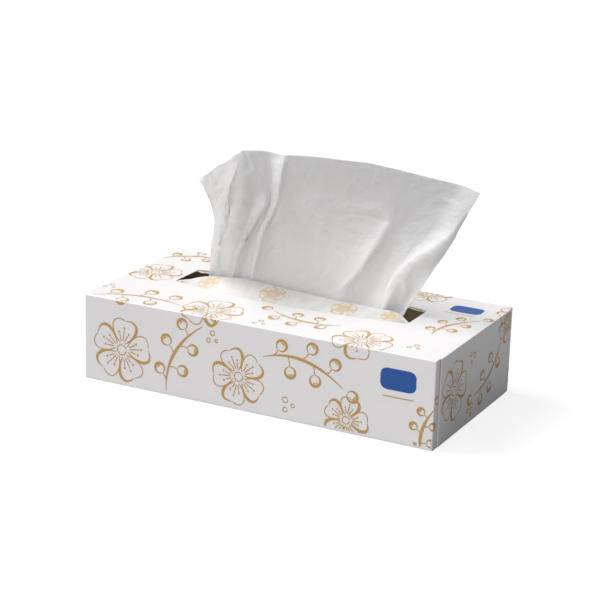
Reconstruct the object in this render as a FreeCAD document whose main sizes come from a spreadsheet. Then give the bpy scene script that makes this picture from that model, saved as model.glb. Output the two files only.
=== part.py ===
import FreeCAD, Part
import math
import os

import Sketcher
from FreeCAD import Vector

# A flat carton of pop-up tissues, 235 x 117 x 54 mm.
# X runs along the carton, Y runs from its front to its back and Z points up.
# The origin is the middle of the footprint, on the surface that the carton stands on.
DIMENSIONS = {
    "carton_length": 235.0,
    "carton_depth": 117.0,
    "carton_height": 54.0,
    "card": 0.5,
    "fold_radius": 0.7,
    "flap_reveal": 5.5,
    "flap_step": 1.0,
    "outer_flap_gap": 1.0,
    "inner_flap_reach": 46.0,
    "dust_flap_reach": 42.0,
    "opening_length": 159.0,
    "opening_end_width": 29.0,
    "opening_bow": 9.0,
    "opening_corner": 2.0,
    "opening_along": -4.5,
    "opening_back": 9.0,
    "film": 0.2,
    "film_margin": 12.0,
    "film_inset": 0.5,
    "crest_rise": 5.5,
    "slit_end_margin": 8.0,
    "flare_width": 24.0,
    "sheet_width": 208.0,
    "stack_depth": 100.0,
    "stack_height": 32.0,
    "stack_round": 4.0,
    "tissue": 0.3,
    "tissue_rise": 88.0,
    "pleat_depth": 2.5,
    "tissue_clearance": 0.5,
    "tail_reach": 54.0,
}

# Two places this near, in millimetres, are the same.
SAME_PLACE = 1e-4

# The film's crest along the slit: the share of the opening's length, and the height over the top panel
# as a share of crest_rise.
CREST = [(0.0, -0.1), (0.04, 0.05), (0.09, 0.4), (0.2, 0.88), (0.28, 1.0), (0.38, 0.84),
         (0.56, 0.55), (0.7, 0.38), (0.9, 0.34), (0.945, 0.38), (0.975, 0.1), (1.0, -0.1)]

# The standing sheet's folds, from its left edge to its right edge, in millimetres on a sheet this wide.
# Each line is a ridge or a hollow: its share of the slit, its side of the slit (1 is towards the front),
# and its place (x, y from the slit) at half height, two thirds and the top, with the top edge's droop.
FOLD_WIDTH = 208.0
FOLDS = [
    (0.00, 0.3, (-50, -26), (-46, -37), (-44.5, -55), -8.5),
    (0.03, 0.2, (-53.5, -13), (-49.5, -20), (-44.5, -30), -5.8),
    (0.06, 1, (-54.5, -3), (-52.5, -5), (-44, -6), -1.4),
    (0.10, -0.6, (-43.5, 0.5), (-41.5, -2), (-42.5, -4), -1.0),
    (0.13, 1, (-37, -4), (-30, -4), (-39.5, -6), -0.3),
    (0.18, -1, (-32, 0.5), (-26, -1.5), (-30, -0.5), -0.5),
    (0.23, 1, (-27, -2), (-22, -3.5), (-17.5, -1.5), -1.0),
    (0.32, -0.5, (-14, 3), (-8, 3), (-1, 0.5), 0.0),
    (0.56, -0.5, (22, 6), (27, 6), (33, 1), 1.0),
    (0.68, 0.4, (46, 3), (52, 4), (50, 0.5), 0.5),
    (0.79, -0.6, (56, 5), (68, 5), (80, 0.5), -2.4),
    (0.90, 1, (73, 3), (83.5, 2), (97, -1), -3.2),
    (0.96, -1, (86, -4), (97.5, -7), (106, -5.5), -3.4),
    (1.00, 0.2, (91.5, -1), (101, -6), (114, -11), -3.7),
]
HALF_HEIGHT = 0.5
TWO_THIRDS = 0.68
# How far the pleats last above the slit, as a share of the way to half height.
PLEATS_ABOVE = 0.35
# The rows of the sheet's tail, from the stack to the slit: each row's share of the tail's reach, and its
# share of the way up from the stack to the card. Up to TAIL_GATHER the tail stays as narrow as the slit.
TAIL_ROWS = [(1.0, 0.0), (0.8, 0.2), (0.55, 0.72), (0.15, 0.82)]
TAIL_GATHER = 0.2
# How much of its lift the film has gained half way from the card to its lip.
FILM_BULGE = 0.62

doc = FreeCAD.newDocument("TissueBox")


def make_sheet(values):
    """The spreadsheet of driving dimensions, one alias a row."""
    sheet = doc.addObject("Spreadsheet::Sheet", "Sizes")
    for row, (name, value) in enumerate(values.items(), start=1):
        sheet.set(f"A{row}", name)
        sheet.set(f"B{row}", str(value))
        sheet.setAlias(f"B{row}", name)
    doc.recompute()
    return sheet


sizes = make_sheet(DIMENSIONS)


def size(name):
    return float(sizes.get(name))


def new_sketch(body, name, role, offset=None):
    """A sketch on one of the body's origin planes, moved along the plane's normal by an expression."""
    sketch = body.newObject("Sketcher::SketchObject", name)
    plane = next(f for f in body.Origin.OriginFeatures if f.Role == role)
    sketch.AttachmentSupport = [(plane, "")]
    sketch.MapMode = "FlatFace"
    if offset:
        sketch.setExpression("AttachmentOffset.Base.z", offset)
    return sketch


def pin(sketch, line, end, across, up):
    """Holds one end of a line at a place that two expressions give."""
    for kind, expression in (("DistanceX", across), ("DistanceY", up)):
        value = float(sketch.evalExpression(expression))
        index = sketch.addConstraint(Sketcher.Constraint(kind, -1, 1, line, end, value))
        sketch.setExpression(f"Constraints[{index}]", expression)


def outline(sketch, corners):
    """A closed outline of straight lines, each corner a pair of expressions."""
    first = sketch.GeometryCount
    count = len(corners)
    points = [Vector(float(sketch.evalExpression(x)), float(sketch.evalExpression(y)), 0) for x, y in corners]
    for i in range(count):
        sketch.addGeometry(Part.LineSegment(points[i], points[(i + 1) % count]))
    for i in range(count):
        sketch.addConstraint(Sketcher.Constraint("Coincident", first + i, 2, first + (i + 1) % count, 1))
    for i, (across, up) in enumerate(corners):
        pin(sketch, first + i, 1, across, up)


def rectangle(sketch, left, low, right, high):
    outline(sketch, [(left, low), (right, low), (right, high), (left, high)])


def pad(body, name, sketch, length, both_ways=False):
    feature = body.newObject("PartDesign::Pad", name)
    feature.Profile = sketch
    feature.SideType = "Symmetric" if both_ways else "One side"
    feature.setExpression("Length", length)
    doc.recompute()
    return feature


def pocket(body, name, sketch, length, both_ways=False):
    """A pocket, which has to take material away."""
    before = body.Shape.Volume
    feature = body.newObject("PartDesign::Pocket", name)
    feature.Profile = sketch
    feature.SideType = "Symmetric" if both_ways else "One side"
    feature.setExpression("Length", length)
    doc.recompute()
    if feature.Shape.Volume > before - 1e-6:
        raise RuntimeError(f"{name} cuts nothing")
    return feature


def round_edges(body, name, base, radius, chosen):
    """Rounds the edges of a feature that the function picks by their middle and their ends."""
    feature = body.newObject("PartDesign::Fillet", name)
    names = [f"Edge{i}" for i, edge in enumerate(base.Shape.Edges, start=1) if chosen(edge)]
    feature.Base = (base, names)
    feature.setExpression("Radius", radius)
    doc.recompute()
    return feature


def near(value, target):
    return abs(value - target) < SAME_PLACE


def make_carton():
    """One sheet of card folded round the tissues, glued, with a barrel shaped opening in its top panel."""
    body = doc.addObject("PartDesign::Body", "carton")
    body.Label = "carton"

    walls = new_sketch(body, "walls", "YZ_Plane")
    rectangle(walls, "-Sizes.carton_depth / 2", "Sizes.card * 0",
              "Sizes.carton_depth / 2", "Sizes.carton_height")
    tube = pad(body, "tube", walls, "Sizes.carton_length - 4 * Sizes.card", both_ways=True)
    half_height = size("carton_height") / 2
    round_edges(body, "panel_folds", tube, "Sizes.fold_radius",
                lambda edge: edge.BoundBox.XLength > half_height or edge.BoundBox.ZLength > half_height)

    inside = new_sketch(body, "inside", "YZ_Plane")
    rectangle(inside, "Sizes.card - Sizes.carton_depth / 2", "Sizes.card",
              "Sizes.carton_depth / 2 - Sizes.card", "Sizes.carton_height - Sizes.card")
    pocket(body, "hollow", inside, "Sizes.carton_length", both_ways=True)

    # The dust flaps turn in from the front and back panels, under the two wide flaps.
    dust = new_sketch(body, "dust_outline", "XY_Plane", "Sizes.card")
    rectangle(dust, "Sizes.carton_length / 2 - 3 * Sizes.card", "Sizes.card - Sizes.carton_depth / 2",
              "Sizes.carton_length / 2 - 2 * Sizes.card",
              "Sizes.card + Sizes.dust_flap_reach - Sizes.carton_depth / 2")
    rectangle(dust, "Sizes.carton_length / 2 - 3 * Sizes.card",
              "Sizes.carton_depth / 2 - Sizes.card - Sizes.dust_flap_reach",
              "Sizes.carton_length / 2 - 2 * Sizes.card", "Sizes.carton_depth / 2 - Sizes.card")
    dust_flaps = pad(body, "dust_flaps", dust, "Sizes.carton_height - 2 * Sizes.card")

    # The inner flap folds up from the bottom panel.
    lower = new_sketch(body, "inner_flap_outline", "XZ_Plane")
    rectangle(lower, "Sizes.carton_length / 2 - 2 * Sizes.card", "Sizes.card * 0",
              "Sizes.carton_length / 2 - Sizes.card", "Sizes.inner_flap_reach")
    inner_flap = pad(body, "inner_flap", lower,
                     "Sizes.carton_depth - 2 * (Sizes.flap_reveal + Sizes.flap_step)", both_ways=True)

    # The outer flap folds down from the top panel and covers the inner one.
    upper = new_sketch(body, "outer_flap_outline", "XZ_Plane")
    outline(upper, [
        ("Sizes.carton_length / 2 - 2 * Sizes.card", "Sizes.carton_height"),
        ("Sizes.carton_length / 2", "Sizes.carton_height"),
        ("Sizes.carton_length / 2", "Sizes.outer_flap_gap"),
        ("Sizes.carton_length / 2 - Sizes.card", "Sizes.outer_flap_gap"),
        ("Sizes.carton_length / 2 - Sizes.card", "Sizes.carton_height - Sizes.card"),
        ("Sizes.carton_length / 2 - 2 * Sizes.card", "Sizes.carton_height - Sizes.card"),
    ])
    outer_flap = pad(body, "outer_flap", upper, "Sizes.carton_depth - 2 * Sizes.flap_reveal", both_ways=True)

    other_end = body.newObject("PartDesign::Mirrored", "other_end")
    other_end.Originals = [dust_flaps, inner_flap, outer_flap]
    other_end.MirrorPlane = (next(f for f in body.Origin.OriginFeatures if f.Role == "YZ_Plane"), [""])
    body.Tip = other_end
    doc.recompute()

    # The opening has straight ends, and its long sides bow outwards as arcs.
    left = "Sizes.opening_along - Sizes.opening_length / 2"
    right = "Sizes.opening_along + Sizes.opening_length / 2"
    front = "Sizes.opening_back - Sizes.opening_end_width / 2"
    back = "Sizes.opening_back + Sizes.opening_end_width / 2"
    middle = size("opening_along")
    bow = size("opening_bow")
    barrel = new_sketch(body, "barrel", "XY_Plane", "Sizes.carton_height")
    x0, x1, y0, y1 = [float(barrel.evalExpression(e)) for e in (left, right, front, back)]
    barrel.addGeometry(Part.LineSegment(Vector(x0, y1, 0), Vector(x0, y0, 0)))
    barrel.addGeometry(Part.Arc(Vector(x0, y0, 0), Vector(middle, y0 - bow, 0), Vector(x1, y0, 0)))
    barrel.addGeometry(Part.LineSegment(Vector(x1, y0, 0), Vector(x1, y1, 0)))
    barrel.addGeometry(Part.Arc(Vector(x1, y1, 0), Vector(middle, y1 + bow, 0), Vector(x0, y1, 0)))
    barrel.addConstraint(Sketcher.Constraint("Coincident", 0, 2, 1, 1))
    barrel.addConstraint(Sketcher.Constraint("Coincident", 1, 2, 2, 1))
    barrel.addConstraint(Sketcher.Constraint("Coincident", 2, 2, 3, 1))
    barrel.addConstraint(Sketcher.Constraint("Coincident", 3, 2, 0, 1))
    pin(barrel, 0, 1, left, back)
    pin(barrel, 0, 2, left, front)
    pin(barrel, 2, 1, right, front)
    pin(barrel, 2, 2, right, back)
    arc_radius = "(Sizes.opening_length ^ 2 / 4 + Sizes.opening_bow ^ 2) / (2 * Sizes.opening_bow)"
    for arc in (1, 3):
        radius = float(barrel.evalExpression(arc_radius))
        index = barrel.addConstraint(Sketcher.Constraint("Radius", arc, radius))
        barrel.setExpression(f"Constraints[{index}]", arc_radius)
    opening = pocket(body, "opening", barrel, "2 * Sizes.card")

    def opening_corner(edge):
        box = edge.BoundBox
        upright = box.ZLength > size("card") / 2 and near(box.XLength + box.YLength, 0)
        return (upright and (near(box.XMin, x0) or near(box.XMin, x1))
                and (near(box.YMin, y0) or near(box.YMin, y1)))

    corners = round_edges(body, "opening_corners", opening, "Sizes.opening_corner", opening_corner)

    # The folds into the two wide flaps are as round as the card's thickness lets them be.
    half_depth = size("carton_depth") / 2
    top_end = size("carton_length") / 2
    floor_end = top_end - size("card")

    def flap_fold(edge):
        box = edge.BoundBox
        crosses = box.YLength > half_depth and near(box.XLength + box.ZLength, 0)
        return crosses and ((near(abs(box.XMin), top_end) and near(box.ZMin, size("carton_height")))
                            or (near(abs(box.XMin), floor_end) and near(box.ZMin, 0)))

    round_edges(body, "flap_folds", corners, "min(Sizes.fold_radius; 0.9 * Sizes.card)", flap_fold)
    return body


def opening_side(x):
    """Half the opening's width at a place along it, less the film's inset, and the same past its ends."""
    half = size("opening_length") / 2
    radius = (half ** 2 + size("opening_bow") ** 2) / (2 * size("opening_bow"))
    along = min(abs(x - size("opening_along")), half)
    bow = math.sqrt(radius ** 2 - along ** 2) - math.sqrt(radius ** 2 - half ** 2)
    return size("opening_end_width") / 2 + bow - size("film_inset")


def slit_half_width():
    """The pleated sheet and its clearance fit between the film's two lips."""
    return size("pleat_depth") + size("tissue") + size("tissue_clearance")


def crest_height(share):
    """The height of the film's lips, from the crest's own outline."""
    for (a, low), (b, high) in zip(CREST, CREST[1:]):
        if a <= share <= b:
            return size("carton_height") + size("crest_rise") * (low + (high - low) * (share - a) / (b - a))
    raise ValueError("the share is outside the opening")


def film_section(x, side, lip_gap, lip_height):
    """Half of the film across the carton: glued flat to the panel, then rising to its lip."""
    glued = size("carton_height") - size("card")
    thickness = size("film")
    slit = size("opening_back")
    bend = opening_side(x)
    outer = size("opening_end_width") / 2 + size("opening_bow") + size("film_margin")
    halfway = (bend + lip_gap) / 2
    bulge = FILM_BULGE * (lip_height - glued)
    upper = [(outer, glued), (bend, glued), (halfway, glued + bulge), (lip_gap, lip_height)]
    lower = [(across, up - thickness) for across, up in reversed(upper)]
    points = [Vector(x, slit + side * across, up) for across, up in upper + lower]
    return Part.makePolygon(points + points[:1])


def make_slit_film():
    """One sheet of film under the top panel. Its slit flares at both ends, and the tissue lifts its lips."""
    length = size("opening_length")
    start = size("opening_along") - length / 2
    glued = size("carton_height") - size("card")
    narrow = slit_half_width()
    flare = size("flare_width") / 2
    closed = 2 * size("film_inset")
    flare_end = size("slit_end_margin") / length * 2
    halves = []
    for side in (-1, 1):
        sections = []
        for x in (start - size("film_margin"), start - closed):
            sections.append(film_section(x, side, 0.0, glued))
        for share, rise in CREST:
            from_end = min(share, 1 - share)
            widening = max(0.0, 1 - from_end / flare_end)
            gap = narrow + (flare - narrow) * widening
            sections.append(film_section(start + share * length, side, gap, crest_height(share)))
        for x in (start + length + closed, start + length + size("film_margin")):
            sections.append(film_section(x, side, 0.0, glued))
        halves.append(Part.makeLoft(sections, True, True))
    film = doc.addObject("Part::Feature", "slit_film")
    film.Label = "slit_film"
    film.Shape = halves[0].fuse(halves[1])
    film.Placement = FreeCAD.Placement()
    return film


def make_tissue_stack():
    """The folded tissues, flat on the carton's floor, with rounded folds along both long sides."""
    body = doc.addObject("PartDesign::Body", "tissue_stack")
    body.Label = "tissue_stack"
    end = new_sketch(body, "stack_end", "YZ_Plane")
    rectangle(end, "-Sizes.stack_depth / 2", "Sizes.card", "Sizes.stack_depth / 2",
              "Sizes.card + Sizes.stack_height")
    block = pad(body, "block", end, "Sizes.sheet_width", both_ways=True)
    half_length = size("sheet_width") / 2
    round_edges(body, "stack_folds", block, "Sizes.stack_round",
                lambda edge: edge.BoundBox.XLength > half_length)
    return body


def tissue_rows():
    """Points of the standing sheet, row by row, from the end that lies on the stack to its top edge."""
    scale = size("sheet_width") / FOLD_WIDTH
    slit = size("opening_back")
    top = size("carton_height")
    rise = size("tissue_rise")
    bed = size("card") + size("stack_height") + size("tissue_clearance")
    length = size("opening_length")
    slit_start = size("opening_along") - length / 2 + 2 * size("slit_end_margin")
    slit_length = length - 3 * size("slit_end_margin")
    half_sheet = size("sheet_width") / 2 - size("slit_end_margin")
    opening_start = size("opening_along") - length / 2
    last = len(FOLDS) - 1
    pleat = size("pleat_depth")

    def slit_x(fold):
        return slit_start + fold[0] * slit_length

    def tail(reach, height):
        """A row of the tail, which bulges under the film and spreads towards its full width on the stack."""
        row = []
        spread = max(0.0, reach - TAIL_GATHER)
        for i, fold in enumerate(FOLDS):
            flat = -half_sheet + 2 * half_sheet * i / last
            x = slit_x(fold) + (flat - slit_x(fold)) * spread
            z = bed + (top - size("card") - bed) * height
            row.append(Vector(x, slit - size("tail_reach") * reach, z))
        return row

    def at_slit():
        row = []
        for fold in FOLDS:
            x = slit_x(fold)
            z = crest_height((x - opening_start) / length)
            row.append(Vector(x, slit - fold[1] * pleat, z))
        return row

    def standing(index, share):
        row = []
        for fold in FOLDS:
            x, y = fold[index]
            row.append(Vector(x * scale, slit + y * scale, top + rise * share))
        return row

    below = at_slit()
    half = standing(2, HALF_HEIGHT)
    between = [(a + b) * 0.5 for a, b in zip(below, half)]
    for point, fold in zip(between, FOLDS):
        point.y -= fold[1] * pleat * PLEATS_ABOVE
    upper = standing(3, TWO_THIRDS)
    edge = standing(4, 1.0)
    for point, fold in zip(edge, FOLDS):
        point.z += fold[5] * scale
    under_edge = [(a + b) * 0.5 for a, b in zip(upper, edge)]
    return [tail(*row) for row in TAIL_ROWS] + [below, between, half, upper, under_edge, edge]


def sheet_normal(rows, j, i):
    """The way that the sheet faces at one point of the net."""
    row = rows[j]
    along = row[min(i + 1, len(row) - 1)] - row[max(i - 1, 0)]
    up = rows[min(j + 1, len(rows) - 1)][i] - rows[max(j - 1, 0)][i]
    return along.cross(up).normalize()


def strip(front, back):
    """The face between two short straight lines, along the sheet's rim."""
    return Part.makeRuledSurface(Part.LineSegment(*front).toShape(), Part.LineSegment(*back).toShape())


def make_popup_tissue():
    """The sheet that stands up out of the slit, gathered into pleats there and open at the top."""
    rows = tissue_rows()
    sections = []
    rims = []
    for j, row in enumerate(rows):
        back = [point - sheet_normal(rows, j, i) * size("tissue") for i, point in enumerate(row)]
        sections.append(Part.makePolygon(row + back[::-1] + row[:1]))
        if j in (0, len(rows) - 1):
            rims += [strip(row[i:i + 2], back[i:i + 2]) for i in range(len(row) - 1)]
    sides = Part.makeLoft(sections, False, True)
    shell = Part.makeShell(sides.Faces + rims)
    shell.sewShape()
    solid = Part.makeSolid(shell)
    if solid.Volume < 0:
        solid.reverse()
    tissue = doc.addObject("Part::Feature", "popup_tissue")
    tissue.Label = "popup_tissue"
    tissue.Shape = solid
    tissue.Placement = FreeCAD.Placement()
    return tissue


pieces = [make_carton(), make_slit_film(), make_tissue_stack(), make_popup_tissue()]
doc.recompute()

for item in doc.Objects:
    if "Invalid" in item.State or "Error" in item.State:
        raise RuntimeError(f"{item.Label} failed: {item.State}")
for piece in pieces:
    if piece.Shape.isNull() or not piece.Shape.isValid():
        raise RuntimeError(f"{piece.Label} has no valid shape")

os.makedirs("parts", exist_ok=True)
for piece in pieces:
    piece.Shape.exportStep(f"parts/{piece.Label}.step")
    box = piece.Shape.BoundBox
    print(f"{piece.Label}: {len(piece.Shape.Solids)} solid, {piece.Shape.Volume:.0f} mm3, "
          f"x {box.XMin:.2f} to {box.XMax:.2f}, y {box.YMin:.2f} to {box.YMax:.2f}, "
          f"z {box.ZMin:.2f} to {box.ZMax:.2f}")
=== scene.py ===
import itertools
import math

import bmesh
import bpy
from bpy.props import FloatProperty, FloatVectorProperty, IntProperty, PointerProperty
from mathutils import Matrix, Vector, noise
from mathutils.bvhtree import BVHTree
from mathutils.geometry import interpolate_bezier


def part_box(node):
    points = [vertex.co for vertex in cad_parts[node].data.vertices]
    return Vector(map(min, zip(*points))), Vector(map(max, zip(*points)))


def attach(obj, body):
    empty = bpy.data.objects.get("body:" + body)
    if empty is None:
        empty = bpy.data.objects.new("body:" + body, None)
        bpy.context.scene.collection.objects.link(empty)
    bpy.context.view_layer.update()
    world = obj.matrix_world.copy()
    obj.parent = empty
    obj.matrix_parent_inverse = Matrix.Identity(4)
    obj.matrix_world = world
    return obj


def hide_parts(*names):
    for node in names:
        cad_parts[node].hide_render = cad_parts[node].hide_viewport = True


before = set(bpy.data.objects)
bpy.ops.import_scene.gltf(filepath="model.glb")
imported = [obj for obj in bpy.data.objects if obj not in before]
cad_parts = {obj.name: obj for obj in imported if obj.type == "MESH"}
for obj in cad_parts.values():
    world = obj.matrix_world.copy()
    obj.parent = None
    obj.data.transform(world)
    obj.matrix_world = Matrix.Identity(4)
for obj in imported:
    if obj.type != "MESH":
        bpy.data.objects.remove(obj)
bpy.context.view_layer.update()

bl_info = {
    "name": "Tissue Box",
    "version": (1, 0, 0),
    "blender": (4, 5, 0),
    "location": "3D View > Sidebar > Tissue Box",
    "description": "Dresses a carton of pop-up tissues with its print, film, folded stack and standing sheet",
    "category": "Object",
}

# The frame is in metres. The sizes below are in millimetres.
MM = 0.001
CARTON_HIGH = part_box("carton")[1] / MM
FILM_LOW, FILM_HIGH = [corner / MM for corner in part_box("slit_film")]
STACK_LOW, STACK_HIGH = [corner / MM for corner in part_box("tissue_stack")]
HALF_LENGTH = CARTON_HIGH.x
HALF_DEPTH = CARTON_HIGH.y
TOP = CARTON_HIGH.z
CARD = 0.5
TUBE_END = HALF_LENGTH - 2 * CARD
PANEL_FOLD = 0.7
FLAP_FOLD = 0.45
FLAP_REVEAL = 5.5
FLAP_GAP = 1.0
# A fold round the carton's end starts less than this before it.
FOLD_REACH = 1.0

# The barrel shaped opening in the top panel, and how far back from the carton's middle the slit lies.
OPENING_LENGTH = 159.0
OPENING_END_WIDTH = 29.0
OPENING_BOW = 9.0
OPENING_ALONG = -4.5
SLIT = 9.0
OPENING_START = OPENING_ALONG - OPENING_LENGTH / 2

# The film's crest along the slit, over the top panel: each place is a share of the opening's length, and the
# height there is a share of CREST_RISE.
CREST_RISE = 5.5
CREST = [(0.0, -0.1), (0.04, 0.05), (0.09, 0.4), (0.2, 0.88), (0.28, 1.0), (0.38, 0.84),
         (0.56, 0.55), (0.7, 0.38), (0.9, 0.34), (0.945, 0.38), (0.975, 0.1), (1.0, -0.1)]
SLIT_HALF_WIDTH = 3.3
FLARE_HALF_WIDTH = 12.0
# The slit flares along this share of the opening at each end, with this power, and closes past the opening.
FLARE_SHARE = 0.1
FLARE_POWER = 1.2
FLARE_END = 1.5
# The middle of the film where it's glued under the card, and its swell from just inside the card's edge.
FILM_GLUED = TOP - CARD - 0.1
FILM_INSET = 0.5
SWELL_POWER = 1.7
# The film's ripples, and how far from the card's edge they reach their height.
RIPPLE_HEIGHT = 0.35
RIPPLE_FADE = 6.0
# The cut lip curls up by this height over its first width. Over its second it is painted whiter and milkier,
# a painted highlight along the lip that also lightens the sheet's shadow on the film.
LIP_CURL = 0.25
LIP_CURL_WIDTH = 1.0
LIP_HIGHLIGHT_WIDTH = 6.0
# The film's two halves are joined where their points are this near.
FILM_SEAM = 0.02

# The standing sheet's folds, from its left edge to its right edge.
# Each line is a ridge or a hollow: its share of the slit, its side of the slit (1 is towards the front),
# and its place (x, y from the slit) at half height, two thirds and the top, with the top edge's droop.
FOLDS = [
    (0.00, 0.3, (-50, -26), (-46, -37), (-44.5, -55), -8.5),
    (0.03, 0.2, (-53.5, -13), (-49.5, -20), (-44.5, -30), -5.8),
    (0.06, 1, (-54.5, -3), (-52.5, -5), (-44, -6), -1.4),
    (0.10, -0.6, (-43.5, 0.5), (-41.5, -2), (-42.5, -4), -1.0),
    (0.13, 1, (-37, -4), (-30, -4), (-39.5, -6), -0.3),
    (0.18, -1, (-32, 0.5), (-26, -1.5), (-30, -0.5), -0.5),
    (0.23, 1, (-27, -2), (-22, -3.5), (-17.5, -1.5), -1.0),
    (0.32, -0.5, (-14, 3), (-8, 3), (-1, 0.5), 0.0),
    (0.56, -0.5, (22, 6), (27, 6), (33, 1), 1.0),
    (0.68, 0.4, (46, 3), (52, 4), (50, 0.5), 0.5),
    (0.79, -0.6, (56, 5), (68, 5), (80, 0.5), -2.4),
    (0.90, 1, (73, 3), (83.5, 2), (97, -1), -3.2),
    (0.96, -1, (86, -4), (97.5, -7), (106, -5.5), -3.4),
    (1.00, 0.2, (91.5, -1), (101, -6), (114, -11), -3.7),
]
# The folds at the left that belong to the free corner.
CORNER_FOLDS = 2.6
# The sheet's rise over the carton, and the shares of it where the rows of places lie.
TISSUE_RISE = 88.0
HALF_HEIGHT = 0.5
TWO_THIRDS = 0.68
# The pleats in the slit, and the share of their depth that is left half way from there to half height.
PLEAT_DEPTH = 2.5
PLEATS_BETWEEN = 0.85
# Where the sheet passes the slit.
SLIT_START = OPENING_START + 16.0
SLIT_LENGTH = 135.0
# The tail lies forward from under the slit, a little over the stack, and its end is folded under it.
LYING_HALF_WIDTH = 96.0
TAIL_REACH = 54.0
BED = STACK_HIGH.z + 0.7
UNDERLAY = 0.35
UNDER_SPREAD = 0.6
# The rows of the tail, from the stack to the slit: each row's share of the tail's reach, and its share of the
# way up from the stack to the card. Up to the share TAIL_GATHER the tail stays as narrow as the slit.
TAIL_ROWS = [(1.0, 0.0), (0.8, 0.2), (0.55, 0.72), (0.15, 0.82)]
TAIL_GATHER = 0.2
# The ridges are this much softer at the top edge than at the slit.
RIDGE_SOFTENING = 0.6
# The crumple and the creases have their full height from a sixth and an eighth of the sheet's rise on.
CRUMPLE_GROWTH = 6
CREASE_GROWTH = 8
LEAST_FACES = 5
SMOOTHING = 0.2

# The photograph's camera, in degrees and millimetres, with its focal length in pixels of a frame 600 wide.
PHOTO_WIDTH = 600
FOCAL_PIXELS = 1941.38
AZIMUTH = 26.659
ELEVATION = 17.575
ROLL = 1.785
DISTANCE = 1198.083
AIM_RIGHT = 0.626
AIM_UP = 51.784
SENSOR = 36.0
# A millimetre of the sheet is at most this many pixels wide there.
PIXELS_PER_MM = 1.7
# A sharp ridge of this height gets the full mark: its fibres lie thickest, so less light passes, and it is
# painted whitest, a painted highlight along the ridge.
FULL_RIDGE_MARK = 1.5

# The standing sheet's creases as the photograph shows them. Each one runs through points that hold a pixel of
# its frame of 600 by 600, the widths of the slopes on the left and right of the way that the crease runs, and
# its height, in millimetres. A height below 0 is a hollow. The number before the points tells a flat facet
# (0) from a wave (1).
CREASES = [
    (0.1, [(243, 149, 3, 6, 0.2), (239, 160, 3, 6, 1.8), (232, 190, 2.6, 6, 3.0), (225, 217, 2.2, 5, 2.6),
           (217, 243, 2, 3, 1.4)]),
    (0.3, [(240, 175, 1.5, 4, 0.2), (249, 172, 1.5, 5, 1.3), (258, 169, 1.5, 4, 0.2)]),
    (0.8, [(221, 160, 4, 5, -0.6), (217, 178, 4, 6, -1.4), (214, 194, 5, 5, -1.3), (217, 212, 4, 4, -0.4)]),
    (0.3, [(212, 198, 2, 2, 0.0), (221, 193, 1.6, 2.5, 1.1), (231, 188, 2, 2, 0.0)]),
    (0.0, [(266, 193, 5, 3, 0.8), (264, 203, 7, 3, 3.6), (256, 214.5, 4.5, 3, 3.2),
           (246.5, 234.7, 2.6, 2.4, 2.3), (238, 252.7, 2.2, 2, 2.1), (229.8, 273, 2, 1.8, 1.6)]),
    (0.0, [(286, 156, 8, 2.2, 1.2), (284, 165, 8, 2.2, 2.6), (279, 190, 4, 2.4, 2.4),
           (276, 203, 3, 2.6, 2.6), (271, 214, 3, 2.6, 2.8), (266, 224, 2.4, 2.4, 2.6),
           (261.5, 235, 2, 2, 2.3), (258, 249, 1.9, 2, 2.0), (252.2, 275, 1.8, 1.8, 1.3)]),
    (0.6, [(260, 152, 3, 3, -0.3), (263, 170, 3, 4, -0.9), (266, 186, 3, 4, -0.7), (266, 198, 3, 3, -0.2)]),
    (0.9, [(250, 182, 5, 5, -0.4), (243, 200, 5, 5, -0.8), (236, 225, 4, 4, -0.8), (229, 250, 4, 4, -0.5)]),
    (0.4, [(313, 178, 14, 14, 0.0), (309, 195, 12, 12, 0.9), (298, 212, 10, 10, 0.9), (293, 230, 8, 8, 0.0)]),
    (0.5, [(325, 204, 9, 5, 0.2), (321.5, 217, 10, 6, 0.9), (318.4, 235, 10, 7, 0.9), (315, 258, 8, 7, 0.2)]),
    (0.5, [(323, 205, 6, 6, 0.2), (334, 203.5, 6, 6, 0.7), (347, 204, 6, 6, 0.9), (362, 206.5, 6, 6, 0.9),
           (381, 209.5, 5, 6, 1.0), (391, 217, 4, 5, 0.4)]),
    (0.1, [(392, 216, 6, 2.5, 0.4), (388, 226, 7, 3, 1.6), (381, 240, 8, 3, 2.1), (369, 255.5, 7, 3, 2.1),
           (362, 268.5, 5, 3, 1.5), (358, 277, 3, 3, 0.4)]),
    (0.9, [(397, 215, 4, 6, -0.4), (387, 236, 4, 7, -0.8), (377, 253, 4, 7, -1.0), (366, 272, 4, 6, -0.9),
           (359, 288, 4, 5, -0.2)]),
    (0.0, [(361, 270, 4, 3, 0.3), (350, 279.5, 3.2, 2.2, 1.4), (343, 288, 2.2, 2.2, 1.4),
           (336.5, 300, 2, 2, 0.8)]),
    (0.2, [(458, 228, 10, 5, 0.0), (446, 240, 9, 10, 1.6), (434, 249, 7.5, 10, 2.6),
           (422.5, 254, 6, 9, 2.8), (413, 261, 5, 8, 2.5), (403.5, 269.5, 3.5, 7, 2.2),
           (396, 277, 2.5, 6, 2.0), (389, 290, 2.0, 5, 1.7), (383.5, 309, 2.0, 4, 1.1)]),
    (0.4, [(394, 276.5, 1.5, 1.5, 0.0), (399, 278, 1.8, 2, -0.9), (406, 278.2, 1.5, 1.5, 0.0)]),
    (0.3, [(407, 272, 2, 3, 0.0), (405.5, 283, 3, 3, 1.3), (405, 298, 3.5, 3, 1.5), (405, 308, 3, 3, 0.8)]),
    (0.4, [(300, 274, 2.5, 2.5, 0.0), (306, 281, 2.5, 2.5, 0.7), (311, 288, 2.5, 2.5, 0.0)]),
]

TOP_DEPTH = 2 * HALF_DEPTH
BLOSSOM = "blossom"
SPRIG = "sprig"
DOTS = "dots"
# Lines of ink that cross lie one on another, a little higher each time, so that no two faces share a plane.
INK_LEVELS = itertools.cycle(range(12))
INK_LEVEL_STEP = 0.004
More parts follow.
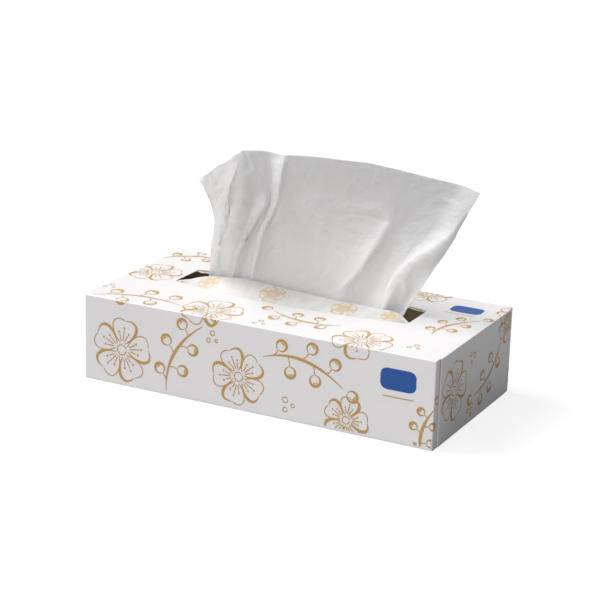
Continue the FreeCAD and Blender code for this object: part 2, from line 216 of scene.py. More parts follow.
# The print: line motifs, each with its place on the flat blank, its size and its turn in degrees. X runs
# along the carton. V runs up the front panel (below 0), across the top panel from 0 and down the back panel.
PRINT_LAYOUT = [
    (BLOSSOM, -90, -31, 42, 10), (SPRIG, -49, -27, 52, 58), (BLOSSOM, -9, -33, 37, 40),
    (SPRIG, 34, -19, 54, -14), (BLOSSOM, 62, -46, 30, 5), (DOTS, 24, -44, 10, 30), (DOTS, -27, -12, 9, 0),
    (SPRIG, 112, -44, 34, 76),
    (SPRIG, -84, 10, 58, 6), (BLOSSOM, -35, 13, 40, 25), (DOTS, -112, 22, 9, 10), (SPRIG, 20, 27, 48, 172),
    (BLOSSOM, 66, 10, 38, 60), (DOTS, 0, 8, 9, 10), (DOTS, 96, 16, 9, 0), (BLOSSOM, -104, 62, 36, 30),
    (SPRIG, 100, 62, 42, 66), (SPRIG, -98, 104, 44, 20), (BLOSSOM, -44, 112, 36, 12), (DOTS, -14, 100, 9, 40),
    (SPRIG, 22, 108, 48, -12), (BLOSSOM, 63, 113, 30, 33),
    (BLOSSOM, 143, 26, 38, 20), (SPRIG, 147, 78, 46, -64), (DOTS, 130, 52, 9, 10), (DOTS, 163, 52, 9, 50),
    (BLOSSOM, 124, 106, 26, 5),
    (BLOSSOM, -144, 84, 40, 50), (SPRIG, -146, 34, 46, 60), (DOTS, -134, 58, 9, 10),
    (BLOSSOM, -84, 146, 40, 5), (SPRIG, -32, 148, 50, 200), (BLOSSOM, 16, 150, 36, 35),
    (SPRIG, 66, 142, 52, 170), (BLOSSOM, 106, 158, 28, 15), (DOTS, -58, 166, 9, 0), (DOTS, 40, 164, 9, 30),
]
# Each plain tag from its left low to its right high corner on the blank, and the thin line under each tag:
# its left end, its right end and its V.
TAGS = [(82.6, -22.0, 105.0, -9.0), (85.0, 90.0, 105.0, 102.5)]
RULES = [(84.0, 104.0, -26.0), (84.0, 104.0, 86.3)]
# Each small blossom on the film: its X, its share of the way from the card to the lip, and its size. It is
# printed only where the film shows in the opening.
FILM_PRINT = [(-62, 0.55, 14), (-16, 0.5, 17), (32, 0.5, 17), (62, 0.5, 12)]
INK_OVER_FILM = 0.04
FILM_PRINT_LOW = TOP - 0.3
# The motifs' lines, each place as a share of the motif's radius or size. A petal's side is a curve whose
# knots have a distance from the middle and degrees off the petal's axis, and each line in a petal has its
# degrees and its end.
PETALS = 5
PETAL_SIDE = [(0.2, 16), (0.72, 47), (1.18, 26), (0.9, 0)]
PETAL_LINES = [(-13, 0.5), (0, 0.62), (13, 0.5)]
STEM = [(-0.5, -0.1), (-0.2, 0.12), (0.15, 0.12), (0.5, -0.04)]
# Each berry: its stalk's share of the stem, its side of the stem and the stalk's length.
BERRIES = [(0.14, 1, 0.096), (0.3, -1, 0.12), (0.46, 1, 0.12), (0.62, -1, 0.114), (0.8, 1, 0.09),
           (1.0, 0, 0.06)]
BERRY_RADIUS = 0.062

# The stack's rounded folds, and the faces round each one and between them.
STACK_ROUND = 4.0
ROUND_FACES = 8
STACK_CUTS = 60

# The floor is grey to the carton that it lights from below, and near white with a shadow to the camera.
FLOOR_RADIUS = 4000.0
FLOOR_GREY = 0.38
SEEN_FLOOR_GREY = 0.24
SEEN_FLOOR_GLOW = 0.8


def linear(hex_colour):
    """An sRGB hex colour as linear RGBA."""
    values = [int(hex_colour[i:i + 2], 16) / 255 for i in (1, 3, 5)]
    return [v / 12.92 if v <= 0.04045 else ((v + 0.055) / 1.055) ** 2.4 for v in values] + [1.0]


def mix(a, b, share):
    return a + (b - a) * share


def clamp(value, low=0.0, high=1.0):
    return max(low, min(high, value))


def new_material(name):
    """An empty material and its node tree."""
    material = bpy.data.materials.new(name)
    material.use_nodes = True
    material.node_tree.nodes.clear()
    return material, material.node_tree


def add(tree, kind, **values):
    """Adds a node. Each value goes to the node's property of that name, or else to its input.

    In an input's name two underscores stand for a space, and an input's number has one underscore before it.
    A node or a socket is linked to the input.
    """
    node = tree.nodes.new("ShaderNode" + kind)
    for name, value in values.items():
        if hasattr(node, name):
            setattr(node, name, value)
            continue
        entry = node.inputs[int(name[1:]) if name[0] == "_" else name.replace("__", " ")]
        if isinstance(value, bpy.types.Node):
            value = value.outputs[0]
        if isinstance(value, bpy.types.NodeSocket):
            tree.links.new(value, entry)
        else:
            entry.default_value = value
    return node


def reckon(tree, operation, a, b, **more):
    return add(tree, "Math", operation=operation, _0=a, _1=b, **more)


def graded(tree, value, start, end, low, high):
    """Low up to the start and high from the end on, and in between a straight slope."""
    return add(tree, "MapRange", Value=value, From__Min=start, From__Max=end, To__Min=low, To__Max=high)


def blend(tree, share, low, high):
    """A mix of two colours."""
    return add(tree, "Mix", data_type="RGBA", _0=share, _6=low, _7=high).outputs[2]


def grain(tree, place, scale, detail, roughness=0.5, **more):
    """Noise with patches as wide as one over its scale."""
    return add(tree, "TexNoise", Vector=place, Scale=scale, Detail=detail, Roughness=roughness, **more)


def bump(tree, height, strength, distance, **more):
    return add(tree, "Bump", Height=height, Strength=strength, Distance=distance, **more)


def finish_material(tree, shader):
    add(tree, "OutputMaterial", Surface=shader)


def make_piece(name, bm, materials, smooth=True):
    """Turns a bmesh in millimetres into an object in metres, at the origin."""
    bmesh.ops.scale(bm, vec=(MM, MM, MM), verts=bm.verts)
    mesh = bpy.data.meshes.new(name)
    bm.to_mesh(mesh)
    bm.free()
    mesh.polygons.foreach_set("use_smooth", [smooth] * len(mesh.polygons))
    for material in materials:
        mesh.materials.append(material)
    piece = bpy.data.objects.new(name, mesh)
    bpy.context.scene.collection.objects.link(piece)
    return piece


def lay_map(bm, name, flat_of):
    """Lays the mesh flat for its texture. The function gives a vertex's place on the flat sheet."""
    layer = bm.loops.layers.uv.new(name)
    for face in bm.faces:
        for loop in face.loops:
            loop[layer].uv = flat_of(loop.vert)


def thicken(piece, thickness, offset):
    """Gives a sheet its thickness, and bakes it into the mesh."""
    solidify = piece.modifiers.new("thickness", "SOLIDIFY")
    solidify.thickness = thickness
    solidify.offset = offset
    mesh = bpy.data.meshes.new_from_object(piece.evaluated_get(bpy.context.evaluated_depsgraph_get()))
    piece.modifiers.clear()
    piece.data = mesh


def board_material():
    """Clay coated board: a smooth white coat outside, and pale brown recycled fibre inside."""
    settings = bpy.context.scene.tissue_card
    material, tree = new_material("clay_coated_board")
    place = add(tree, "TexCoord").outputs["Object"]
    axes = add(tree, "SeparateXYZ", Vector=place).outputs
    # The fibre side starts half a card's thickness in from the printed skin, on all six sides.
    inside = 1.0
    for axis, middle, half in zip(axes, (0.0, 0.0, TOP / 2), (TUBE_END, HALF_DEPTH, TOP / 2)):
        within = reckon(tree, "COMPARE", axis, middle * MM, _2=(half - CARD / 2) * MM)
        inside = reckon(tree, "MULTIPLY", inside, within)
    # A coated sheet is very even: a faint mottle some 6 mm wide is all that shows.
    mottle = grain(tree, place, 160, 3)
    white = blend(tree, mottle, settings.coat, linear("#ECEAEA"))
    # Recycled fibres, drawn 1.1 mm wide, coarser than real ones so that they show.
    fibres = grain(tree, place, 900, 4, 0.7)
    brown = blend(tree, fibres, settings.fibre, linear("#F8E4C4"))
    # The coat follows the board's formation: shallow hills 2 mm apart.
    formation = grain(tree, place, 500, 2)
    relief = bump(tree, formation, 0.08, 0.0002)
    # The coat is a little glossy, and the fibre is dull.
    shader = add(tree, "BsdfPrincipled", Base__Color=blend(tree, inside, white, brown), IOR=1.5,
                 Roughness=graded(tree, inside, 0, 1, 0.42, 0.9), Normal=relief)
    finish_material(tree, shader)
    return material


def ink_material(name, colour, shade, metallic):
    """Offset ink. With a little metal, its pearl pigment catches the light slightly."""
    material, tree = new_material(name)
    place = add(tree, "TexCoord").outputs["Object"]
    # Ink lies a little thicker and thinner, in patches about 1 mm wide.
    lay = grain(tree, place, 1000, 2, 0.6)
    shader = add(tree, "BsdfPrincipled", Base__Color=blend(tree, lay, colour, shade), Metallic=metallic,
                 Roughness=0.45, IOR=1.5)
    finish_material(tree, shader)
    return material


def film_material():
    """Low density polyethylene film: milky, soft and glossy, with stretch marks across the slit."""
    settings = bpy.context.scene.tissue_film
    material, tree = new_material("slit_polyethylene_film")
    way = add(tree, "UVMap", uv_map="film")
    # Stretch marks run from the card to the slit, 8 mm apart along it. The map is in millimetres.
    stretch = add(tree, "Mapping", Vector=way, Scale=(0.12, 0.04, 1.0))
    marks = grain(tree, stretch, 1, 3, 0.6, Distortion=0.4)
    streaks = graded(tree, marks, 0.3, 0.7, -0.08, 0.08)
    # The film is milky in front of the slit, where the sheets rub and stretch it. It stays clearer at its
    # ends and behind the slit.
    axes = add(tree, "SeparateXYZ", Vector=way).outputs
    along = reckon(tree, "ABSOLUTE", reckon(tree, "SUBTRACT", axes[0], OPENING_ALONG), 0.0)
    end = OPENING_LENGTH / 2
    ends = graded(tree, along, end - 11, end - 3, 0.0, settings.clear_ends)
    behind = graded(tree, axes[1], SLIT - 2, SLIT + 4, 0.0, settings.clear_ends)
    milky = reckon(tree, "SUBTRACT", settings.haze, reckon(tree, "MAXIMUM", ends, behind))
    streaked = reckon(tree, "ADD", milky, streaks, use_clamp=True)
    # The cut lip is rolled. Along it the film is painted whiter and milkier: a painted highlight, which also
    # lightens the sheet's shadow on the film.
    lip = add(tree, "Attribute", attribute_name="lip").outputs["Fac"]
    painted_lip_highlight = reckon(tree, "MULTIPLY", lip, settings.lip)
    haze = reckon(tree, "MAXIMUM", streaked, painted_lip_highlight)
    tone = blend(tree, painted_lip_highlight, linear("#F4F2EE"), linear("#FFFFFF"))
    relief = bump(tree, marks, 0.2, 0.0004)
    gloss = add(tree, "BsdfPrincipled", Base__Color=tone, Roughness=0.24, IOR=1.51, Normal=relief)
    through = add(tree, "BsdfTranslucent", Color=linear("#FAF9F7"), Normal=relief)
    milk = add(tree, "MixShader", _0=0.25, _1=gloss, _2=through)
    clear = add(tree, "BsdfTransparent")
    finish_material(tree, add(tree, "MixShader", _0=haze, _1=clear, _2=milk))
    return material


def tissue_material():
    """Two-ply creped tissue: soft fibres that scatter light and let some of it through."""
    settings = bpy.context.scene.tissue_sheet
    material, tree = new_material("creped_tissue_paper")
    way = add(tree, "UVMap", uv_map="sheet")
    # Crepe lines run across the sheet. Real ones are 0.3 mm apart, and these are 0.8 mm so that they show.
    crepe_map = add(tree, "Mapping", Vector=way, Scale=(0.25, 1.25, 1.0))
    crepe = grain(tree, crepe_map, 1, 3, 0.65)
    # The web is cloudy where fibres gather, in flocks of some 5 mm.
    cloud_map = add(tree, "Mapping", Vector=way, Scale=(0.2, 0.2, 1.0))
    cloud = grain(tree, cloud_map, 1, 4, 0.6)
    # Fibres crushed along a crease or gathered at the slit lie thicker, so less light passes. The whiter
    # colour there is
    # painted light: a painted highlight along the ridges, and painted brightening of the shade at the slit.
    # Below 0 the
    # sheet is thinner: its free corner is a single ply, which lights up from behind.
    layers = add(tree, "Attribute", attribute_name="layers").outputs["Fac"]
    clouded = blend(tree, cloud, settings.colour, linear("#FBFBFB"))
    colour = blend(tree, layers, clouded, settings.crushed)
    fine = bump(tree, crepe, 0.35, 0.0003)
    relief = bump(tree, cloud, 0.5, 0.002, Normal=fine)
    front = add(tree, "BsdfPrincipled", Base__Color=colour, Roughness=0.9, IOR=1.4, Specular__IOR__Level=0.2,
                Sheen__Weight=0.15, Normal=relief)
    through = add(tree, "BsdfTranslucent", Color=colour, Normal=relief)
    passing = graded(tree, layers, -1, 1, settings.single_through, settings.crushed_through)
    finish_material(tree, add(tree, "MixShader", _0=passing, _1=front, _2=through))
    return material


def stack_material():
    """The same tissue, folded: the long sides show the folds."""
    material, tree = new_material("folded_tissue_stack")
    place = add(tree, "TexCoord").outputs["Object"]
    # Seventy sheets in 32 mm make folds 0.46 mm apart, drawn here four times as wide so that they show.
    layers = add(tree, "TexWave", Vector=place, wave_type="BANDS", bands_direction="Z", wave_profile="SIN",
                 Scale=170.0, Distortion=0.6, Detail=2.0, Detail__Scale=0.2)
    soft = grain(tree, place, 120, 3)
    # The darker part of each band is painted shade, standing for the shade in the gaps between the folded
    # sheets.
    colour = blend(tree, layers, linear("#DAD8D5"), linear("#F4F3F1"))
    folds = bump(tree, layers, 0.6, 0.0004)
    relief = bump(tree, soft, 0.4, 0.0012, Normal=folds)
    shader = add(tree, "BsdfPrincipled", Base__Color=colour, Roughness=0.92, Specular__IOR__Level=0.2,
                 Normal=relief)
    finish_material(tree, shader)
    return material


def over_fold(past, radius):
    """Where a point of the blank comes to lie round a fold: how far along, how far down, and its turn."""
    quarter = math.pi * radius / 4
    if past <= -quarter:
        return past + quarter - radius, 0.0, 0.0
    if past >= quarter:
        return 0.0, past - quarter + radius, math.pi / 2
    turn = (past + quarter) / radius
    return radius * math.sin(turn) - radius, radius - radius * math.cos(turn), turn


def opening_half_width(x):
    """Half the opening's width at a place along it. Past its ends it stays as wide as they are."""
    half = OPENING_LENGTH / 2
    radius = (half ** 2 + OPENING_BOW ** 2) / (2 * OPENING_BOW)
    along = min(abs(x - OPENING_ALONG), half)
    return OPENING_END_WIDTH / 2 + math.sqrt(radius ** 2 - along ** 2) - math.sqrt(radius ** 2 - half ** 2)


def on_carton(x, v, lift):
    """A point of the printed blank, folded round the carton, or None where there is no printed card."""
    side = math.copysign(1.0, x)
    if 0 <= v <= TOP_DEPTH:
        y = v - HALF_DEPTH
        if abs(x) > HALF_LENGTH - FOLD_REACH and abs(y) <= HALF_DEPTH - FLAP_REVEAL:
            along, down, turn = over_fold(abs(x) - HALF_LENGTH, FLAP_FOLD)
            if down > TOP - FLAP_GAP - CARD:
                return None
            out = HALF_LENGTH + along + lift * math.sin(turn)
            return Vector((side * out, y, TOP - down + lift * math.cos(turn)))
        if abs(x) > TUBE_END:
            return None
        in_length = abs(x - OPENING_ALONG) < OPENING_LENGTH / 2
        if in_length and abs(y - SLIT) < opening_half_width(x):
            return None
    front = -1.0 if v < TOP_DEPTH / 2 else 1.0
    past = -v if front < 0 else v - TOP_DEPTH
    along, down, turn = over_fold(past, PANEL_FOLD)
    if down > TOP - 2 * PANEL_FOLD:
        return None
    y = front * (HALF_DEPTH + along + lift * math.sin(turn))
    z = TOP - down + lift * math.cos(turn)
    if past <= 0 or abs(x) < TUBE_END - FOLD_REACH:
        return Vector((x, y, z)) if abs(x) < TUBE_END else None
    around, inward, corner = over_fold(abs(x) - TUBE_END, PANEL_FOLD)
    if inward > FLAP_REVEAL - CARD:
        return None
    out = TUBE_END + around + lift * math.sin(corner)
    return Vector((side * out, front * (HALF_DEPTH - inward + lift * math.cos(corner)), z))


def around(points, i):
    """The points before, at and after one piece of a line. At the line's ends the last point counts twice."""
    return points[max(i - 1, 0)], points[i], points[i + 1], points[min(i + 2, len(points) - 1)]


def stroke(bm, points, width, place):
    """A printed line: a ribbon whose half width is a function of the share of its length."""
    level = next(INK_LEVELS) * INK_LEVEL_STEP
    total = sum((b - a).length for a, b in zip(points, points[1:]))
    step = bpy.context.scene.tissue_print.step
    count = max(4, round(total / step))
    walked = [0.0]
    for a, b in zip(points, points[1:]):
        walked.append(walked[-1] + (b - a).length)
    rails = []
    segment = 0
    for i in range(count + 1):
        goal = total * i / count
        while segment < len(points) - 2 and walked[segment + 1] < goal:
            segment += 1
        before, a, b, after = around(points, segment)
        share = (goal - walked[segment]) / max(walked[segment + 1] - walked[segment], 1e-9)
        heading = mix(b - before, after - a, share).normalized()
        half = width(i / count) / 2
        aside = Vector((-heading.y, heading.x)) * half
        middle = a.lerp(b, share)
        pair = [place(*(middle + aside), level), place(*(middle - aside), level)]
        rails.append(None if None in pair else [bm.verts.new(p) for p in pair])
    for low, high in zip(rails, rails[1:]):
        if low and high:
            bm.faces.new((low[0], low[1], high[1], high[0]))


def round_end(share):
    """Makes a line's ends round instead of cut off."""
    return math.sqrt(max(0.0, 1 - (2 * share - 1) ** 12))


def thin_line(share):
    return bpy.context.scene.tissue_print.thin * round_end(share)


def swelling_line(share):
    settings = bpy.context.scene.tissue_print
    return mix(settings.thin, settings.thick, math.sin(math.pi * share) ** 2) * round_end(share)


def pen(bm, angle, centre, place):
    """A function that draws lines of a motif which is turned and moved to its centre."""
    turn = Matrix.Rotation(math.radians(angle), 2)

    def draw(points, width=thin_line):
        stroke(bm, [turn @ Vector(point) + centre for point in points], width, place)

    return draw


def polar(radius, degrees):
    angle = math.radians(degrees)
    return Vector((radius * math.cos(angle), radius * math.sin(angle)))


def circle(radius, centre=Vector((0, 0)), start=0.0, turns=1.0, count=28):
    """A circle or a part of one, from its start in degrees."""
    return [centre + polar(radius, start + 360 * turns * i / count) for i in range(count + 1)]


def draw_blossom(draw, size):
    """Notched petals with short lines inside, round a ring and a circle of dots."""
    radius = size / 2
    for petal in range(PETALS):
        axis = 360 / PETALS * petal
        for side, width in ((-1, swelling_line), (1, thin_line)):
            knots = [polar(reach * radius, axis + side * degrees) for reach, degrees in PETAL_SIDE]
            draw([point.to_2d() for point in interpolate_bezier(*knots, 16)], width)
        for side, reach in PETAL_LINES:
            draw([polar(0.26 * radius, axis + side), polar(0.4 * radius, axis + side * 1.1),
                  polar(reach * radius, axis + side * 1.3)])
            draw(circle(0.025 * radius, polar((reach + 0.05) * radius, axis + side * 1.3), count=8))
    draw(circle(0.15 * radius))


def draw_sprig(draw, size):
    """A bowed stem that carries round berries on short stalks, each with a highlight line."""
    stem = [point.to_2d() for point in interpolate_bezier(*[Vector(knot) * size for knot in STEM], 24)]
    draw(stem, swelling_line)
    for share, side, reach in BERRIES:
        base = stem[round(share * (len(stem) - 1))]
        lean = Vector((0.45, side) if side else (1, -0.3)).normalized()
        tip = base + lean * reach * size
        if side:
            draw([base, base.lerp(tip, 0.5) + Vector((0.01 * size, 0)), tip])
        berry = BERRY_RADIUS * size
        middle = tip + lean * berry
        start = math.degrees(math.atan2(-lean.y, -lean.x))
        draw(circle(berry, middle, start), swelling_line)
        draw(circle(berry / 2, middle, start + 126, 0.3, 8))


def draw_dots(draw, size):
    """Three small rings in a group."""
    for index, (radius, degrees) in enumerate(((0.32, 90), (0.36, 215), (0.34, 330))):
        draw(circle(size * (0.17 - 0.03 * index), polar(radius * size, degrees), count=18))


DRAW = {BLOSSOM: draw_blossom, SPRIG: draw_sprig, DOTS: draw_dots}


def draw_tag(bm, left, low, right, high, place):
    """A plain tag with round corners, filled with ink."""
    radius = 0.32 * (high - low)
    rows = 24
    for i in range(rows):
        pair = []
        for v in (mix(low, high, i / rows), mix(low, high, (i + 1) / rows)):
            near_end = max(0.0, radius - min(v - low, high - v))
            inset = radius - math.sqrt(max(0.0, radius ** 2 - near_end ** 2))
            pair.append((left + inset, right - inset, v))
        (a, b, v0), (c, d, v1) = pair
        bm.faces.new([bm.verts.new(place(*corner)) for corner in ((a, v0), (b, v0), (d, v1), (c, v1))])


def crest_height(share):
    """The height of the film's lips over the table."""
    for (a, low), (b, high) in zip(CREST, CREST[1:]):
        if share <= b:
            eased = clamp((share - a) / (b - a))
            return TOP + CREST_RISE * mix(low, high, eased)
    return TOP + CREST_RISE * CREST[-1][1]


def film_point(side, along, inward):
    """A point of the film, and how near to its cut lip that is, which sets the painted highlight along the
    lip.

    The side is -1 in front of the slit and 1 behind it. One share runs along the film, the other from its
    glued edge to its lip. The film lies flat under the card and swells from the card's edge to the lip.
    """
    x = mix(FILM_LOW.x, FILM_HIGH.x, along)
    share = (x - OPENING_START) / OPENING_LENGTH
    bend = opening_half_width(x) - FILM_INSET
    if 0 < share < 1:
        widening = max(0.0, 1 - min(share, 1 - share) / FLARE_SHARE)
        gap = mix(SLIT_HALF_WIDTH, FLARE_HALF_WIDTH, widening ** FLARE_POWER)
        lip = max(crest_height(share), FILM_GLUED)
    else:
        past = max(-share, share - 1) * OPENING_LENGTH
        gap = FLARE_HALF_WIDTH * max(0.0, 1 - past / FLARE_END)
        lip = FILM_GLUED
    across = mix(FILM_HIGH.y - SLIT, gap, inward)
    rising = clamp((bend - across) / max(bend - gap, 1e-6))
    z = FILM_GLUED + (lip - FILM_GLUED) * (1 - (1 - rising) ** SWELL_POWER)
    if 0 < share < 1 and across < bend:
        lively = clamp((bend - across) / RIPPLE_FADE)
        z += lively * RIPPLE_HEIGHT * noise.noise(Vector((x * 0.22, across * 0.08, side * 5.0)))
        z += LIP_CURL * clamp(1 - (across - gap) / LIP_CURL_WIDTH) ** 2
    return Vector((x, SLIT + side * across, z)), clamp(1 - (across - gap) / LIP_HIGHLIGHT_WIDTH)


def net_row(kind, share):
    """One row of the standing sheet's net of folds, by its first two values in NET."""
    last = len(FOLDS) - 1
    row = []
    for index, (slit_share, side, half, two_thirds, top, droop) in enumerate(FOLDS):
        x = SLIT_START + slit_share * SLIT_LENGTH
        lip = crest_height((x - OPENING_START) / OPENING_LENGTH)
        flat = mix(-LYING_HALF_WIDTH, LYING_HALF_WIDTH, index / last)
        if kind == "under":
            spread = max(share, UNDER_SPREAD)
            row.append(Vector((mix(x, flat, spread), SLIT - TAIL_REACH * share, BED - UNDERLAY)))
        elif kind == "tail":
            reach, height = TAIL_ROWS[share]
            spread = max(0.0, reach - TAIL_GATHER)
            z = mix(BED, TOP - CARD, height)
            row.append(Vector((mix(x, flat, spread), SLIT - TAIL_REACH * reach, z)))
        elif kind == "slit":
            row.append(Vector((x, SLIT - side * PLEAT_DEPTH, lip)))
        elif kind == "between":
            y = SLIT + half[1] / 2 - side * PLEAT_DEPTH * PLEATS_BETWEEN
            row.append(Vector(((x + half[0]) / 2, y, (lip + TOP + TISSUE_RISE * HALF_HEIGHT) / 2)))
        elif kind == "half":
            row.append(Vector((half[0], SLIT + half[1], TOP + TISSUE_RISE * HALF_HEIGHT)))
        elif kind == "two_thirds":
            row.append(Vector((two_thirds[0], SLIT + two_thirds[1], TOP + TISSUE_RISE * TWO_THIRDS)))
        elif kind == "edge":
            row.append(Vector((top[0], SLIT + top[1], TOP + TISSUE_RISE + droop)))
    return row


# The rows of the sheet's net from its hidden end to its top edge: the row, its number in TAIL_ROWS or its
# share of the tail's reach where it's folded under, and the number of faces up to the next row.
NET = [("under", 0.4, 3), ("under", 0.7, 3), ("under", 1.0, 3), ("tail", 0, 3), ("tail", 1, 4),
       ("tail", 2, 5), ("tail", 3, 5), ("slit", 0, 17), ("between", 0, 26), ("half", 0, 20),
       ("two_thirds", 0, 34), ("edge", 0, 0)]
SLIT_ROW = [kind for kind, share, faces in NET].index("slit")


def hermite(a, b, slope_a, slope_b, t):
    """A curve from a to b with the slope that is given at each."""
    t2 = t * t
    t3 = t2 * t
    rise = 3 * t2 - 2 * t3
    return a * (1 - rise) + slope_a * (t3 - 2 * t2 + t) + b * rise + slope_b * (t3 - t2)


def spaced(points, faces_of):
    """The mesh's lines through a row of points: each one's place on the net, and on the flat sheet.

    The function gives the number of faces from a point's number and the way to the next point.
    """
    lines, flat = [], 0.0
    for index, (a, b) in enumerate(zip(points, points[1:])):
        length = (b - a).length
        faces = faces_of(index, length)
        lines += [(index + i / faces, flat + length * i / faces) for i in range(faces)]
        flat += length
    return [*lines, (len(points) - 1.0, flat)]


def along_fold(points, t):
    """A smooth curve through one fold's points. The whole part of t is the point's number."""
    i = min(int(t), len(points) - 2)
    before, a, b, after = around(points, i)
    return hermite(a, b, (b - before) / 2, (after - a) / 2, t - i)


def across_folds(points, t, crease):
    """A curve across the folds. It is creased at the ridges and round in the hollows."""
    i = min(int(t), len(points) - 2)
    before, a, b, after = around(points, i)
    slopes = [smooth.lerp(b - a, crease if FOLDS[index][1] > 0 else 0.0)
              for index, smooth in ((i, (b - before) / 2), (i + 1, (after - a) / 2))]
    return hermite(a, b, *slopes, t - i)


def crumple(u, v, rise):
    """Small creases of a sheet that was pulled through a slit, in millimetres, from its flat place."""
    # Gathers run up the sheet from the slit and fade towards the top edge.
    gather = noise.noise(Vector((u * 0.16, v * 0.018, 1.7)))
    fine = noise.noise(Vector((u * 0.42, v * 0.045, 9.1)))
    near_slit = (1 - rise) ** 2
    gathers = near_slit * (0.6 * gather + 0.3 * fine) + 0.2 * gather
    # The sheet bulges softly, and is creased where it was crushed.
    soft = 0.4 * noise.noise(Vector((u * 0.035, v * 0.045, 4.4))) * math.sin(math.pi * rise)
    crushed = 0.75 * abs(noise.noise(Vector((u * 0.075, v * 0.09, 6.3))))
    small = 0.35 * abs(noise.noise(Vector((u * 0.17, v * 0.24, 3.1))))
    # Ripples lie across the free part.
    ripple = 0.22 * noise.noise(Vector((u * 0.06, v * 0.32, 2.9))) * rise
    return gathers + soft - crushed - small + ripple


def photo_axes():
    """The camera's right, up and backward directions, and its place in millimetres."""
    azimuth, elevation, roll = (math.radians(angle) for angle in (AZIMUTH, ELEVATION, ROLL))
    away = Vector((math.sin(azimuth) * math.cos(elevation), -math.cos(azimuth) * math.cos(elevation),
                   math.sin(elevation)))
    level = Vector((math.cos(azimuth), math.sin(azimuth), 0))
    upright = away.cross(level)
    right = level * math.cos(roll) + upright * math.sin(roll)
    up = upright * math.cos(roll) - level * math.sin(roll)
    return right, up, away, level * AIM_RIGHT + upright * AIM_UP + away * DISTANCE


def crease_at(x, y, scale, line, roundness):
    """One crease's height at a pixel of the photograph, and how strongly its ridge is marked there: thicker
    fibres, and a painted highlight.

    The scale is a pixel's width in millimetres.
    """
    nearest = None
    for a, b in zip(line, line[1:]):
        run_x, run_y = b[0] - a[0], b[1] - a[1]
        off_x, off_y = x - a[0], y - a[1]
        share = clamp((off_x * run_x + off_y * run_y) / (run_x ** 2 + run_y ** 2))
        far = math.hypot(off_x - share * run_x, off_y - share * run_y)
        if nearest is None or far < nearest[0]:
            nearest = (far, share, a, b, run_x * off_y - run_y * off_x)
    far, share, a, b, turn = nearest
    side = 2 if turn > 0 else 3
    width = mix(a[side], b[side], share)
    left = 1 - far * scale / width
    if left <= 0:
        return 0.0, 0.0
    top = mix(a[4], b[4], share)
    height = top * mix(left, left * left * (3 - 2 * left), max(roundness, 0.1))
    return height, (1 - roundness) * clamp(top / FULL_RIDGE_MARK) * left ** 1.5


def shift(moves):
    for vertex, move in moves.items():
        vertex.co += move


def add_creases(bm, layers, plies_and_painted_light, fade):
    """Raises the creases along the sheet's normals, where the photograph shows them.

    It marks how thick the fibres lie and how much whiter the sheet is painted there, a painted highlight
    along the ridges. The mark starts from the one given for each point, and fade says how much a crease
    counts.
    """
    right, up, away, place = photo_axes()
    boxes = []
    for roundness, line in CREASES:
        reach = PIXELS_PER_MM * max(max(point[2:4]) for point in line)
        boxes.append((min(p[0] for p in line) - reach, max(p[0] for p in line) + reach,
                      min(p[1] for p in line) - reach, max(p[1] for p in line) + reach))
    moves = {}
    for vertex in bm.verts:
        offset = vertex.co - place
        depth = -offset.dot(away)
        scale = depth / FOCAL_PIXELS
        x = PHOTO_WIDTH / 2 + offset.dot(right) / scale
        y = PHOTO_WIDTH / 2 - offset.dot(up) / scale
        height, plies_and_highlight_mark = 0.0, plies_and_painted_light[vertex]
        for (low_x, high_x, low_y, high_y), (roundness, line) in zip(boxes, CREASES):
            if low_x < x < high_x and low_y < y < high_y:
                # A ridge's mark makes the sheet thicker there and paints it whiter, a painted highlight along
                # the ridge.
                step, crease_plies_and_highlight = crease_at(x, y, scale, line, roundness)
                height += step
                plies_and_highlight_mark = max(plies_and_highlight_mark, crease_plies_and_highlight)
        # A crease fades out where the sheet is seen edge on.
        facing = vertex.normal.dot(away)
        moves[vertex] = vertex.normal * height * clamp(facing * 3, -1, 1) * fade(vertex)
        vertex[layers] = plies_and_highlight_mark
    shift(moves)


def colour_setting(name, description, hex_colour):
    return FloatVectorProperty(name=name, description=description, subtype="COLOR", size=4,
                               default=linear(hex_colour), min=0, max=1)


def share_setting(name, description, default):
    return FloatProperty(name=name, description=description, default=default, min=0, max=1, subtype="FACTOR")


def lamp_strength(name, description, default):
    return FloatProperty(name=name, description=f"Strength of the {description}", default=default, min=0)


def lamp_width(name, degrees):
    return FloatProperty(name=name, description="How wide the lamp looks from the carton", subtype="ANGLE",
                         default=math.radians(degrees))


def lamp_from(name, direction):
    return FloatVectorProperty(name=name, description="Where the lamp stands, seen from the carton",
                               subtype="DIRECTION", default=direction)


class TissueCard(bpy.types.PropertyGroup):
    """Colours of the carton's board."""
    coat: colour_setting("Coat", "Colour of the clay coat", "#E8E6E6")
    fibre: colour_setting("Fibre", "Colour of the uncoated inner side", "#F2D0A0")


class TissuePrint(bpy.types.PropertyGroup):
    """The print's lines, in millimetres, and its colours."""
    thin: FloatProperty(name="Thin line", description="Width of a thin line", default=0.7, min=0.1)
    thick: FloatProperty(name="Thick line", description="Width of a swelling line", default=2.0, min=0.1)
    step: FloatProperty(name="Step", description="Length of one piece of a line", default=0.45, min=0.1)
    lift: FloatProperty(name="Lift", description="Height of the ink over the card", default=0.03, min=0.01)
    ink: colour_setting("Ink", "Colour of the line print", "#CBA466")
    tag: colour_setting("Tag", "Colour of the plain tags", "#1C4B93")


class TissueFilm(bpy.types.PropertyGroup):
    """The slit film."""
    haze: share_setting("Haze", "How milky the film is", 0.93)
    # Lip: how much whiter and milkier the film is painted along its cut lips, as a painted highlight.
    lip: share_setting("Lip", "How milky the film is along its cut lips", 1.0)
    clear_ends: share_setting("Clear ends", "How much less milky the film's slack parts are", 0.6)
    thickness: FloatProperty(name="Thickness", description="Thickness of the film", default=0.0001,
                             unit="LENGTH")
    columns: IntProperty(name="Columns", description="Faces along the slit", default=260, min=20)
    rows: IntProperty(name="Rows", description="Faces from the glue to the lip", default=34, min=6)


